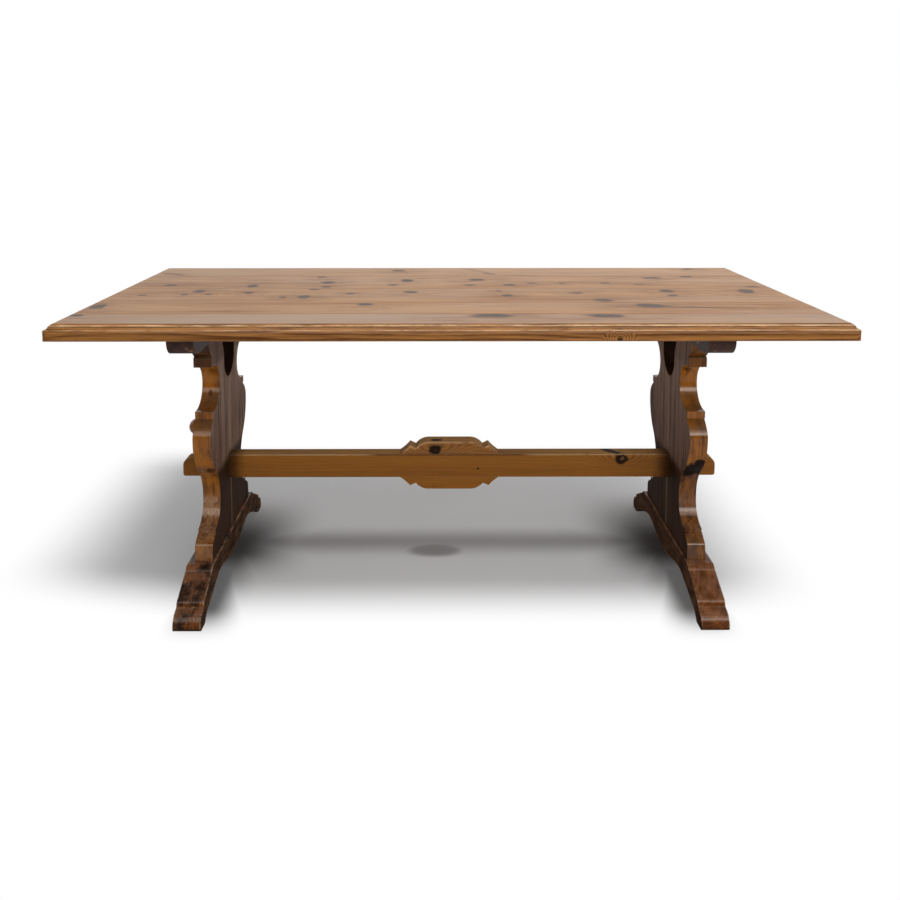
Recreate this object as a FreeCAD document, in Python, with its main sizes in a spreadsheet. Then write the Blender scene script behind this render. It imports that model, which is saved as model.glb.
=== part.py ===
import FreeCAD, Part
import math
import os
import re
import Sketcher

# Farmhouse trestle table in pine, sizes in millimetres.
# X runs along the table, Y from its front edge to its back edge, Z up.
# The origin is on the floor, under the middle of the top.

# The driving sizes, each with its name in the sheet and what it measures
SIZE_ROWS = (
    ("table_height", 755, "floor to the face of the top"),
    ("top_length", 1800, "over the moulded ends"),
    ("top_width", 800, "over the moulded edges"),
    ("top_thickness", 36, "thickness of the planks"),
    ("first_seam", 281, "middle of the top to the seam behind the front plank"),
    ("second_seam", 159, "middle of the top to the next seam"),
    ("third_seam", 34, "middle of the top to the seam just behind it"),
    ("fourth_seam", 229, "middle of the top to the seam before the back plank"),
    ("bead_width", 10, "shallow round at the top of the edge moulding"),
    ("bead_height", 5, "shallow round at the top of the edge moulding"),
    ("quirk_height", 2, "upright step under the shallow round"),
    ("edge_cove_radius", 5, "hollow of the edge moulding"),
    ("lip_width", 2, "flat lip below the hollow"),
    ("nose_radius", 5, "rounded nose over the upright edge"),
    ("ease_radius", 2, "softened arris"),
    ("corner_radius", 16, "rounding of the corners of the top, in plan"),
    ("tongue_thickness", 8, "loose tongue between two planks"),
    ("tongue_width", 24, "loose tongue, half of it in each plank"),
    ("tongue_setback", 60, "end of the top to the end of a tongue"),
    ("bearer_setback", 104, "edge of the top to the end of a cross bearer"),
    ("bearer_height", 63, "cross bearer"),
    ("bearer_thickness", 64, "cross bearer"),
    ("bearer_nose_radius", 36, "rounded lower corner at each end of a bearer"),
    ("screw_length", 50, "screw through the bearer into the top"),
    ("screw_bite", 22, "how deep a screw goes into the top"),
    ("screw_radius", 2.5, "screw shank"),
    ("screw_head_radius", 4.8, "screw head"),
    ("screw_head_height", 3.5, "screw head"),
    ("screw_well_radius", 6, "bore in the bearer that sinks the screw head"),
    ("end_overhang", 257, "outer face of a trestle board to the end of the top"),
    ("board_thickness", 45, "trestle board"),
    ("board_reach", 188, "half the width of a trestle board at the foot"),
    ("neck_reach", 178, "half the width of a trestle board under the bearer"),
    ("neck_height", 39, "swelling neck between bearer and block"),
    ("block_reach", 158, "half the width over the square block"),
    ("block_height", 27, "square block over the hollow"),
    ("block_nose_radius", 7, "rounded upper arris of the square block"),
    ("hollow_mouth", 144, "half the width at the mouth of the side hollow"),
    ("hollow_radius", 57, "side hollow of a trestle board"),
    ("collar_reach", 156, "half the width over the collar"),
    ("collar_height", 19, "upright collar under the hollow"),
    ("slot_depth", 135, "lyre opening, down from the top of the board"),
    ("slot_front_reach", 41, "middle of the board to the front of the lyre opening"),
    ("slot_back_reach", 60, "middle of the board to the back of the lyre opening"),
    ("slot_flare", 30, "widening of the lyre opening on each side at its top"),
    ("stave_width", 10, "pale strip glued between the two halves of a board"),
    ("foot_inset", 6, "inner face of a trestle board to the inner face of its foot"),
    ("foot_length", 644, "sled foot"),
    ("foot_height", 102, "sled foot"),
    ("foot_thickness", 66, "sled foot"),
    ("dowel_radius", 6, "dowels of the trestles"),
    ("dowel_length", 60, "dowels of the trestles, half of it in each piece"),
    ("stretcher_bottom", 245.5, "floor to the underside of the stretcher"),
    ("stretcher_height", 64, "stretcher"),
    ("stretcher_thickness", 37, "stretcher and its tenons"),
    ("tenon_upper_shoulder", 11, "step from the face of the stretcher down to the tenon"),
    ("tenon_lower_shoulder", 4.5, "step from the underside of the stretcher up to the tenon"),
    ("tenon_proud", 79, "tenon beyond the outer face of the trestle board"),
    ("tenon_upper_radius", 19, "rounded upper corner of the tenon's end"),
    ("tenon_lower_radius", 6, "rounded lower corner of the tenon's end"),
    ("crest_reach", 134, "half the length of the ornament on the stretcher"),
    ("crest_rise", 35, "upper ornament, above the stretcher"),
    ("crest_drop", 33, "lower ornament, below the stretcher"),
    ("crest_dowel_radius", 4, "dowels of the ornament"),
    ("crest_dowel_length", 30, "dowels of the ornament, half of it in each piece"),
    ("button_radius", 20, "turned button on the left trestle"),
    ("button_proud", 22, "turned button, out from the board"),
    ("button_rim", 4, "straight rim of the turned button"),
    ("button_tip_radius", 3, "flat left by the lathe at the tip of the button"),
    ("button_drop", 27, "underside of the collar down to the middle of the button"),
    ("button_offset", 131, "middle of the board to the middle of the button"),
    ("spigot_radius", 6, "spigot of the button"),
    ("spigot_length", 20, "spigot of the button, in the board"),
    ("overrun", 20, "how far a cutting outline runs past the wood"),
)
SIZE_NAMES = {row[0] for row in SIZE_ROWS}

# Bulge of an arc that turns a quarter of a circle
QUARTER_SHARE = math.tan(math.pi / 8)

# Levels and places that several pieces share
TOP_UNDERSIDE = "(table_height - top_thickness)"
BOARD_TOP = "(table_height - top_thickness - bearer_height)"
BLOCK_TOP = f"({BOARD_TOP} - neck_height)"
BLOCK_BOTTOM = f"({BLOCK_TOP} - block_height)"
COLLAR_TOP = f"({BLOCK_BOTTOM} - 2 * hollow_radius)"
COLLAR_BOTTOM = f"({COLLAR_TOP} - collar_height)"
SLOT_BOTTOM = f"({BOARD_TOP} - slot_depth)"
STRETCHER_TOP = "(stretcher_bottom + stretcher_height)"
TENON_TOP = f"({STRETCHER_TOP} - tenon_upper_shoulder)"
TENON_BOTTOM = "(stretcher_bottom + tenon_lower_shoulder)"
BOARD_OUTSIDE = "(top_length / 2 - end_overhang)"
BOARD_MIDDLE = f"({BOARD_OUTSIDE} - board_thickness / 2)"
BOARD_INSIDE = f"({BOARD_OUTSIDE} - board_thickness)"
BEARER_MIDDLE = f"({BOARD_INSIDE} + bearer_thickness / 2)"
BEARER_LENGTH = "(top_width - 2 * bearer_setback)"
FOOT_MIDDLE = f"({BOARD_INSIDE} - foot_inset + foot_thickness / 2)"

# Flank of a trestle board from the foot up to the collar.
# Each row has the reach as a share of board_reach, the level as a share of the height
# from foot to collar, and the bulge of the side that follows.
FLANK_SHARES = (
    (1.000, 0.000, 0.03),
    (0.984, 0.101, 0.20),
    (0.957, 0.121, 0.00),
    (0.862, 0.157, 0.00),
    (0.814, 0.167, 0.00),
    (0.840, 0.186, 0.00),
    (0.809, 0.189, -0.357),
    (0.569, 0.343, 0.00),
    (0.569, 0.379, -0.221),
    (0.777, 0.615, 0.208),
    (0.968, 0.874, 0.15),
    (0.944, 0.921, 0.12),
    (0.787, 1.000, 0.00),
)

# Bulges of the side hollow, nearly half a circle, and of the swelling neck
HOLLOW_BULGE_SHARE = -0.98
NECK_BULGE_SHARE = 0.2

# Lyre opening from its top down to its pointed bottom: the part of the flare, the level as
# a share of slot_depth, and the bulge of the side that follows
SLOT_SHARES = (
    (1.0, 1.000, 0.12),
    (0.0, 0.525, 0.00),
    (0.0, 0.389, -0.315),
)

# Half of a sled foot, from the middle of its underside round the toe to its upper ledge:
# reach as a share of half the length, level as a share of the height, bulge. The last bulge
# is that of the hanging middle between the two halves.
FOOT_SHARES = (
    (0.186, 0.392, -0.05),
    (0.357, 0.540, -0.12),
    (0.512, 0.530, 0.00),
    (0.776, 0.236, -0.20),
    (0.882, 0.000, 0.00),
    (0.975, 0.000, 0.414),
    (1.000, 0.090, 0.36),
    (0.919, 0.402, 0.00),
    (0.904, 0.422, 0.00),
    (0.898, 0.480, 0.30),
    (0.866, 0.578, 0.00),
    (0.677, 0.902, 0.20),
    (0.627, 1.000, 0.00),
)
PENDANT_BULGE_SHARE = 0.07

# Half of the ornament, from its tip on the stretcher to its flat crown: reach as a share of
# crest_reach, height as a share of the rise, bulge
CREST_SHARES = (
    (1.000, 0.00, -0.08),
    (0.797, 0.71, 0.00),
    (0.680, 0.49, 0.24),
    (0.412, 1.00, 0.00),
)

# Places of the dowels along the piece that holds them
FOOT_DOWEL_SHARES = (-0.75, -0.35, 0.35, 0.75)
BEARER_DOWEL_SHARES = (-0.83, -0.62, 0.62, 0.83)
CREST_DOWEL_SHARES = (-0.42, 0.42)

# Screws of a trestle, each with the seams before and behind the plank that it holds, so that it
# never meets a tongue, and its place between them
SCREW_SHARES = (
    ("-first_seam", "-second_seam", 0.60),
    ("-second_seam", "third_seam", 0.45),
    ("third_seam", "fourth_seam", 0.20),
    ("third_seam", "fourth_seam", 0.85),
)

doc = FreeCAD.newDocument("FarmhouseTable")
sheet = doc.addObject("Spreadsheet::Sheet", "Sizes")
for number, (name, amount, note) in enumerate(SIZE_ROWS, start=1):
    sheet.set(f"A{number}", note)
    sheet.set(f"B{number}", str(amount))
    sheet.setAlias(f"B{number}", name)
doc.recompute()

subparts = []


def linked(text):
    """The expression with every size name pointing into the sheet."""
    def into_sheet(word):
        return f"Sizes.{word[0]}" if word[0] in SIZE_NAMES else word[0]

    return re.sub(r"[a-z_]+", into_sheet, str(text))


def amount_of(text):
    return float(sheet.evalExpression(linked(text)))


def bind(item, **expressions):
    """Ties properties to the sheet; x, y and z stand for the placement."""
    for key, text in expressions.items():
        path = f"Placement.Base.{key}" if key in ("x", "y", "z") else key
        item.setExpression(path, linked(text))
    return item


def keep(item, node, solids=1):
    """Names a finished sub-part and remembers how many solids it has."""
    item.Label = node
    subparts.append((item, solids))
    return item


def origin_feature(body, role):
    return next(item for item in body.Origin.OriginFeatures if item.Role == role)


def mirrored(vertices):
    """The same vertices on the other side of the sketch's upright axis."""
    return [(f"-({across})", up, -bulge) for across, up, bulge in vertices]


def both_sides(half):
    """A closed outline from its right half, which runs upwards from the bottom."""
    left = [(f"-({across})", up) for across, up, bulge in reversed(half)]
    bulges = [bulge for across, up, bulge in reversed(half[:-1])] + [0]
    return list(half) + [(across, up, bulge) for (across, up), bulge in zip(left, bulges)]


def add_loop(sketch, vertices):
    """A closed loop of lines and arcs; every vertex and radius is tied to the sheet."""
    points = [FreeCAD.Vector(amount_of(across), amount_of(up), 0) for across, up, bulge in vertices]
    ends = []
    for index, (across, up, bulge) in enumerate(vertices):
        start, stop = points[index], points[(index + 1) % len(points)]
        if not bulge:
            ends.append((sketch.addGeometry(Part.LineSegment(start, stop)), 1, 2))
            continue
        half_chord = (stop - start) / 2
        sideways = FreeCAD.Vector(-half_chord.y, half_chord.x, 0)
        centre = start + half_chord + sideways * ((1 - bulge ** 2) / (2 * bulge))
        circle = Part.Circle(centre, FreeCAD.Vector(0, 0, 1), (start - centre).Length)
        angles = [math.atan2(point.y - centre.y, point.x - centre.x) for point in (start, stop)]
        first, last = (1, 2) if bulge > 0 else (2, 1)
        arc = Part.ArcOfCircle(circle, angles[first - 1], angles[last - 1])
        ends.append((sketch.addGeometry(arc), first, last))
    for index, (geometry, first, last) in enumerate(ends):
        across, up, bulge = vertices[index]
        next_across, next_up = vertices[(index + 1) % len(vertices)][:2]
        next_geometry, next_first = ends[(index + 1) % len(ends)][:2]
        sketch.addConstraint(Sketcher.Constraint("Coincident", geometry, last, next_geometry, next_first))
        for kind, text, axis in (("DistanceX", across, -2), ("DistanceY", up, -1)):
            if amount_of(text) == 0:
                sketch.addConstraint(Sketcher.Constraint("PointOnObject", geometry, first, axis))
                continue
            row = sketch.addConstraint(Sketcher.Constraint(kind, -1, 1, geometry, first, amount_of(text)))
            sketch.setExpression(f"Constraints[{row}]", linked(text))
        if bulge:
            per_chord = (1 + bulge ** 2) / (4 * abs(bulge))
            radius = f"hypot({next_across} - ({across}); {next_up} - ({up})) * {per_chord}"
            row = sketch.addConstraint(Sketcher.Constraint("Radius", geometry, amount_of(radius)))
            sketch.setExpression(f"Constraints[{row}]", linked(radius))


def add_sketch(body, plane, *loops):
    sketch = body.newObject("Sketcher::SketchObject", "Outline")
    sketch.AttachmentSupport = [(origin_feature(body, plane), "")]
    sketch.MapMode = "FlatFace"
    for vertices in loops:
        add_loop(sketch, vertices)
    return sketch


def make_body(name):
    body = doc.addObject("PartDesign::Body", "Body")
    body.Label = name
    return body


def sawn(name, plane, vertices, length):
    """A body sawn to an outline, with its thickness centred on the outline's plane."""
    body = make_body(name)
    pad = body.newObject("PartDesign::Pad", "Thickness")
    pad.Profile = add_sketch(body, plane, vertices)
    pad.SideType = "Symmetric"
    bind(pad, Length=length)
    return body


def pocket_through(body, plane, *loops):
    sketch = add_sketch(body, plane, *loops)
    pocket = body.newObject("PartDesign::Pocket", "Moulding")
    pocket.Profile = sketch
    pocket.Type = "ThroughAll"
    pocket.SideType = "Symmetric"
    return pocket


def group(name, items):
    compound = doc.addObject("Part::Compound", "Group")
    compound.Links = items
    compound.Label = name
    return compound


def fitted(piece, tools, node):
    """The piece with housings cut for the pieces that it holds."""
    cut = doc.addObject("Part::Cut", "Fitted")
    cut.Base = piece
    cut.Tool = tools[0] if len(tools) == 1 else group(f"{node}_housings", tools)
    piece.Label = f"{node}_blank"
    return keep(cut, node)


def upright_cylinder(name, radius, height, x, y, z):
    cylinder = doc.addObject("Part::Cylinder", "Cylinder")
    cylinder.Label = name
    return bind(cylinder, Radius=radius, Height=height, x=x, y=y, z=z)


def moulded_edge(edge):
    """Edge moulding of the top from its underside up to its face, as inset and level."""
    lip_level = "(table_height - bead_height - quirk_height - edge_cove_radius)"
    bead_inset = "(nose_radius + lip_width + edge_cove_radius)"
    bead_bulge = math.tan(math.atan2(amount_of("bead_height"), amount_of("bead_width")) / 2)
    return [
        (f"{edge} - ease_radius", TOP_UNDERSIDE, QUARTER_SHARE),
        (edge, f"{TOP_UNDERSIDE} + ease_radius", 0),
        (edge, f"{lip_level} - nose_radius", QUARTER_SHARE),
        (f"{edge} - nose_radius", lip_level, 0),
        (f"{edge} - nose_radius - lip_width", lip_level, -QUARTER_SHARE),
        (f"{edge} - {bead_inset}", f"{lip_level} + edge_cove_radius", 0),
        (f"{edge} - {bead_inset}", "table_height - bead_height", bead_bulge),
        (f"{edge} - {bead_inset} - bead_width", "table_height", 0),
    ]


def end_waste():
    """What the moulding plane takes off the right-hand end of the top."""
    edge = moulded_edge("top_length / 2")
    outside = "top_length / 2 + overrun"
    return edge + [
        (edge[-1][0], "table_height + overrun", 0),
        (outside, "table_height + overrun", 0),
        (outside, f"{TOP_UNDERSIDE} - overrun", 0),
        (edge[0][0], f"{TOP_UNDERSIDE} - overrun", 0),
    ]


def corner_waste():
    """What rounds the corner of the top at its right-hand back end."""
    end, side = "top_length / 2", "top_width / 2"
    return [
        (end, f"{side} - corner_radius", QUARTER_SHARE),
        (f"{end} - corner_radius", side, 0),
        (f"{end} - corner_radius", f"{side} + overrun", 0),
        (f"{end} + overrun", f"{side} + overrun", 0),
        (f"{end} + overrun", f"{side} - corner_radius", 0),
    ]


def make_plank(near, far):
    """One plank between two seams; the outermost planks carry the moulding on one edge."""
    if far is None:
        right = moulded_edge("top_width / 2")
    else:
        right = [(far, TOP_UNDERSIDE, 0), (far, "table_height", 0)]
    if near is None:
        left = mirrored(moulded_edge("top_width / 2"))[::-1]
        bulges = [-bulge for across, up, bulge in left[1:]] + [0]
        left = [(across, up, -bulge) for (across, up, unused), bulge in zip(left, bulges)]
    else:
        left = [(near, "table_height", 0), (near, TOP_UNDERSIDE, 0)]
    body = sawn("plank", "YZ_Plane", right + left, "top_length")
    pocket_through(body, "XZ_Plane", end_waste(), mirrored(end_waste()))
    if far is None:
        pocket_through(body, "XY_Plane", corner_waste(), mirrored(corner_waste()))
    if near is None:
        turned = [(across, f"-({up})", -bulge) for across, up, bulge in corner_waste()]
        pocket_through(body, "XY_Plane", turned, mirrored(turned))
    return body


def make_tongue(number, seam):
    tongue = doc.addObject("Part::Box", "Tongue")
    bind(tongue, Length="top_length - 2 * tongue_setback", Width="tongue_width", Height="tongue_thickness")
    bind(tongue, x="tongue_setback - top_length / 2", y=f"{seam} - tongue_width / 2")
    bind(tongue, z="table_height - top_thickness / 2 - tongue_thickness / 2")
    return keep(tongue, f"plank_tongue_{number}")


def make_screws(side, sign):
    """Screws that stand head down in the bearer and bite into the top, and their wells."""
    screws, wells = [], []
    head_level = f"{TOP_UNDERSIDE} + screw_bite - screw_length"
    middle = f"{sign} * {BEARER_MIDDLE}"
    for before, behind, share in SCREW_SHARES:
        along = f"{before} + {share} * ({behind} - ({before}))"
        shank = upright_cylinder("shank", "screw_radius", "screw_length", middle, along, head_level)
        head = doc.addObject("Part::Cone", "Head")
        bind(head, Radius1="screw_head_radius", Radius2="screw_radius", Height="screw_head_height")
        bind(head, x=middle, y=along, z=head_level)
        screw = doc.addObject("Part::Fuse", "Screw")
        screw.Base = head
        screw.Tool = shank
        screws.append(screw)
        depth = f"{head_level} - {BOARD_TOP}"
        wells.append(upright_cylinder("well", "screw_well_radius", depth, middle, along, BOARD_TOP))
    return keep(group("screws", screws), f"{side}_top_screws", len(screws)), wells


def make_dowels(node, middle, seat, places):
    """Dowels that stand half below and half above the joint at the level of the seat."""
    dowels = []
    for place in places:
        level = f"{seat} - dowel_length / 2"
        dowels.append(upright_cylinder("dowel", "dowel_radius", "dowel_length", middle, place, level))
    return keep(group(node, dowels), node, len(dowels))


def board_half(slot_reach):
    """Back half of a trestle board: foot, flank, collar, hollow, block, neck and lyre opening."""
    flank_height = f"({COLLAR_BOTTOM} - foot_height)"
    vertices = [("stave_width / 2", "foot_height", 0)]
    for reach, level, bulge in FLANK_SHARES:
        vertices.append((f"{reach} * board_reach", f"foot_height + {level} * {flank_height}", bulge))
    vertices += [
        ("collar_reach", COLLAR_BOTTOM, 0),
        ("collar_reach", COLLAR_TOP, 0),
        ("hollow_mouth", COLLAR_TOP, HOLLOW_BULGE_SHARE),
        ("hollow_mouth", BLOCK_BOTTOM, 0),
        ("block_reach - ease_radius", BLOCK_BOTTOM, QUARTER_SHARE),
        ("block_reach", f"{BLOCK_BOTTOM} + ease_radius", 0),
        ("block_reach", f"{BLOCK_TOP} - block_nose_radius", QUARTER_SHARE),
        ("block_reach - block_nose_radius", BLOCK_TOP, NECK_BULGE_SHARE),
        ("neck_reach", BOARD_TOP, 0),
    ]
    for flare, level, bulge in SLOT_SHARES:
        across = f"{slot_reach} + {flare} * slot_flare"
        vertices.append((across, f"{SLOT_BOTTOM} + {level} * slot_depth", bulge))
    vertices.append(("stave_width / 2", SLOT_BOTTOM, 0))
    return vertices


def make_stave(node, sign, bottom, top):
    """Strip between the two halves of a board."""
    stave = doc.addObject("Part::Box", "Stave")
    bind(stave, Length="board_thickness", Width="stave_width", Height=f"{top} - {bottom}")
    bind(stave, x=f"{sign} * {BOARD_MIDDLE} - board_thickness / 2", y="-stave_width / 2", z=bottom)
    return keep(stave, node)


def foot_outline():
    half = [(f"{reach} * foot_length / 2", f"{level} * foot_height", bulge)
            for reach, level, bulge in FOOT_SHARES]
    outline = both_sides(half)
    across, up, bulge = outline[-1]
    return outline[:-1] + [(across, up, PENDANT_BULGE_SHARE)]


def bearer_outline():
    reach = f"({BEARER_LENGTH} / 2)"
    return both_sides([
        (f"{reach} - bearer_nose_radius", BOARD_TOP, QUARTER_SHARE),
        (reach, f"{BOARD_TOP} + bearer_nose_radius", 0),
        (reach, TOP_UNDERSIDE, 0),
    ])


def stretcher_outline():
    tip = f"({BOARD_OUTSIDE} + tenon_proud)"
    return both_sides([
        (BOARD_INSIDE, "stretcher_bottom", 0),
        (BOARD_INSIDE, TENON_BOTTOM, 0),
        (f"{tip} - tenon_lower_radius", TENON_BOTTOM, QUARTER_SHARE),
        (tip, f"{TENON_BOTTOM} + tenon_lower_radius", 0),
        (tip, f"{TENON_TOP} - tenon_upper_radius", QUARTER_SHARE),
        (f"{tip} - tenon_upper_radius", TENON_TOP, 0),
        (BOARD_INSIDE, TENON_TOP, 0),
        (BOARD_INSIDE, STRETCHER_TOP, 0),
    ])


def crest_outline(seat, rise):
    """Ornament that stands on the seat with a positive rise or hangs under it with a negative one."""
    turn = 1 if amount_of(rise) > 0 else -1
    half = [(f"{reach} * crest_reach", f"{seat} + {height} * ({rise})", turn * bulge)
            for reach, height, bulge in CREST_SHARES]
    return both_sides(half)


def make_button():
    """Turned button with its spigot, out from the outer face of the left board."""
    body = make_body("button")
    rim, tip = amount_of("button_radius"), amount_of("button_tip_radius")
    rise = amount_of("button_proud - button_rim")
    centre_depth = (rim ** 2 - tip ** 2 - rise ** 2) / (2 * rise)
    dome_bulge = math.tan((math.atan2(rim, centre_depth) - math.atan2(tip, centre_depth + rise)) / 4)
    profile = [
        ("spigot_length", 0, 0),
        ("spigot_length", "spigot_radius", 0),
        (0, "spigot_radius", 0),
        (0, "button_radius", 0),
        ("-button_rim", "button_radius", dome_bulge),
        ("-button_proud", "button_tip_radius", 0),
        ("-button_proud", 0, 0),
    ]
    turning = body.newObject("PartDesign::Revolution", "Turning")
    turning.Profile = add_sketch(body, "XZ_Plane", profile)
    turning.ReferenceAxis = (turning.Profile[0], ["H_Axis"])
    bind(body, x=f"-{BOARD_OUTSIDE}", y="-button_offset", z=f"{COLLAR_BOTTOM} - button_drop")
    return keep(body, "wooden_button")


def make_top():
    """Screws, loose tongues and planks; returns the screw wells for the bearers."""
    left_screws, left_wells = make_screws("left", -1)
    right_screws, right_wells = make_screws("right", 1)
    seams = ("-first_seam", "-second_seam", "third_seam", "fourth_seam")
    tongues = [make_tongue(number, seam) for number, seam in enumerate(seams, start=1)]
    edges = (None,) + seams + (None,)
    held = tongues + [left_screws, right_screws]
    for number, (near, far) in enumerate(zip(edges, edges[1:]), start=1):
        fitted(make_plank(near, far), held, f"top_plank_{number}")
    return {"left": [left_screws] + left_wells, "right": [right_screws] + right_wells}


def make_trestle(side, sign, stretcher, housed, sunk):
    """One trestle: bearer, two board halves with the strip between them, and the sled foot."""
    middle = f"{sign} * {BOARD_MIDDLE}"
    foot_places = [f"{share} * board_reach" for share in FOOT_DOWEL_SHARES]
    bearer_places = [f"{share} * neck_reach" for share in BEARER_DOWEL_SHARES]
    foot_dowels = make_dowels(f"{side}_foot_dowels", middle, "foot_height", foot_places)
    bearer_dowels = make_dowels(f"{side}_bearer_dowels", middle, BOARD_TOP, bearer_places)

    bearer = sawn("bearer", "YZ_Plane", bearer_outline(), "bearer_thickness")
    bind(bearer, x=f"{sign} * {BEARER_MIDDLE}")
    fitted(bearer, [bearer_dowels] + sunk, f"{side}_bearer")
    foot = sawn("foot", "YZ_Plane", foot_outline(), "foot_thickness")
    bind(foot, x=f"{sign} * {FOOT_MIDDLE}")
    fitted(foot, [foot_dowels], f"{side}_foot")

    held = [stretcher, foot_dowels, bearer_dowels]
    front = sawn("half", "YZ_Plane", mirrored(board_half("slot_front_reach")), "board_thickness")
    back = sawn("half", "YZ_Plane", board_half("slot_back_reach"), "board_thickness")
    fitted(bind(front, x=middle), held + housed, f"{side}_board_front")
    fitted(bind(back, x=middle), held, f"{side}_board_back")
    make_stave(f"{side}_lower_stave", sign, "foot_height", TENON_BOTTOM)
    make_stave(f"{side}_upper_stave", sign, TENON_TOP, SLOT_BOTTOM)


def make_stretcher():
    """Stretcher with its through tenons, and the two ornaments dowelled to its middle."""
    dowels = []
    size = ("crest_dowel_radius", "crest_dowel_length")
    for seat in (STRETCHER_TOP, "stretcher_bottom"):
        for share in CREST_DOWEL_SHARES:
            level = f"{seat} - crest_dowel_length / 2"
            dowels.append(upright_cylinder("dowel", *size, f"{share} * crest_reach", 0, level))
    crest_dowels = keep(group("crest_dowels", dowels), "crest_dowels", len(dowels))
    crown = sawn("crest", "XZ_Plane", crest_outline(STRETCHER_TOP, "crest_rise"), "stretcher_thickness")
    fitted(crown, [crest_dowels], "upper_crest")
    fall = crest_outline("stretcher_bottom", "-crest_drop")
    fitted(sawn("crest", "XZ_Plane", fall, "stretcher_thickness"), [crest_dowels], "lower_crest")
    beam = sawn("beam", "XZ_Plane", stretcher_outline(), "stretcher_thickness")
    return fitted(beam, [crest_dowels], "stretcher")


def export_all():
    os.makedirs("parts", exist_ok=True)
    doc.recompute()
    for item in doc.Objects:
        if "Invalid" in item.State or "Error" in item.State:
            raise RuntimeError(f"{item.Label} did not build")
    for item, solids in subparts:
        if item.Shape.isNull() or not item.Shape.isValid():
            raise RuntimeError(f"{item.Label} has no valid shape")
        if len(item.Shape.Solids) != solids:
            raise RuntimeError(f"{item.Label} has {len(item.Shape.Solids)} solids, not {solids}")
    for item, solids in subparts:
        item.Shape.exportStep(f"parts/{item.Label}.step")
        print(f"{item.Label}: {item.Shape.Volume / 1000:.1f} cm3")


wells = make_top()
stretcher = make_stretcher()
button = make_button()
make_trestle("left", -1, stretcher, [button], wells["left"])
make_trestle("right", 1, stretcher, [], wells["right"])
export_all()
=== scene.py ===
import math

import bmesh
import bpy
from bpy.props import FloatProperty, FloatVectorProperty, PointerProperty
from mathutils import Matrix, Vector


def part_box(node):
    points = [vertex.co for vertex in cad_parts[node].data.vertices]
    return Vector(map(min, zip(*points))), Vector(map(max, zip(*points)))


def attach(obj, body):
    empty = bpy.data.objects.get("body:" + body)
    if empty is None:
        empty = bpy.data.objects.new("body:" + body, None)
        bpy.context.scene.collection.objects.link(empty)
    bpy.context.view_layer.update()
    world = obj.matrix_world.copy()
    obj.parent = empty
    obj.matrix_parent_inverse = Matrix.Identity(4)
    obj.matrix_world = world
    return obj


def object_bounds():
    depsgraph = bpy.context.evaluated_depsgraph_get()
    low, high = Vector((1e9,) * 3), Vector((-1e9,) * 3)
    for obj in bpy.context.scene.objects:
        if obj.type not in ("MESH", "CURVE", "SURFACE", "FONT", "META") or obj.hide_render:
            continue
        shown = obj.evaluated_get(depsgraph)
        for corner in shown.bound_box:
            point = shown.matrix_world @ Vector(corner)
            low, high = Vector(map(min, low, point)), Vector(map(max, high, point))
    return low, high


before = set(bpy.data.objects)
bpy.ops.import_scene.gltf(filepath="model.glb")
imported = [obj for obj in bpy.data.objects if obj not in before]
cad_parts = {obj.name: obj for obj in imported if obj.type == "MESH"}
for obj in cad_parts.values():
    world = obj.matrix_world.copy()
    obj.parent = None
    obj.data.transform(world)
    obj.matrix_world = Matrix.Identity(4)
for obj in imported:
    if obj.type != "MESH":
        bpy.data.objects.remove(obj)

bl_info = {
    "name": "Farmhouse Table Finishes",
    "version": (1, 0, 0),
    "blender": (4, 5, 0),
    "location": "View3D > Sidebar > Table",
    "description": "Gives a pine trestle table its waxed and worn finishes and sets its studio",
    "category": "Material",
}

# What the frame says about the table
CAD_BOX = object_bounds()
TOP_LEVEL = CAD_BOX[1].z
SIDES = ("left", "right")
PLANKS = tuple(f"top_plank_{number}" for number in range(1, 6))
SEAMS = tuple(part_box(plank)[1].y for plank in PLANKS[:-1])
STRETCHER_LOW, STRETCHER_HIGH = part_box("stretcher")
FOOT_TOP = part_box("left_foot")[1].z
FOOT_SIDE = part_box("right_foot")[0].x
BOARD_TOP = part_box("left_board_front")[1].z
BOARD_MIDDLE = sum(corner.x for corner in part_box("right_board_front")) / 2
CREST_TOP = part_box("upper_crest")[1].z
BUTTON_LOW, BUTTON_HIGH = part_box("wooden_button")

# Axes of a piece in its own order: along the grain, across the board, through the board
TOP_AXES = (0, 1, 2)
BOARD_AXES = (2, 1, 0)
FOOT_AXES = (1, 2, 0)
STRETCHER_AXES = (0, 2, 1)

# Noises that follow the grain: cycles per metre along it and across it, detail and roughness
DRIFT = (1.3, 7, 2.0, 0.5)
FIBRE = (10, 430, 3.0, 0.6)
STREAK = (1.7, 42, 3.0, 0.6)

# How far two normals agree where an arris starts and where it is at its fullest
ARRIS_TURN = (0.97, 0.80)

# Lines along the edge moulding: depth under the face, half width, and how strongly they show
# The dark lines are painted shade in the hollows, with some dirt in them
MOULDING_DARKS = ((0.0014, 0.0010, 0.75), (0.0062, 0.0014, 0.80), (0.0170, 0.0022, 0.50))
# The pale lines are painted highlights on the bead and the nose, with some wear in them
MOULDING_PALES = ((0.0040, 0.0013, 0.95), (0.0124, 0.0014, 0.80))

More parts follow.
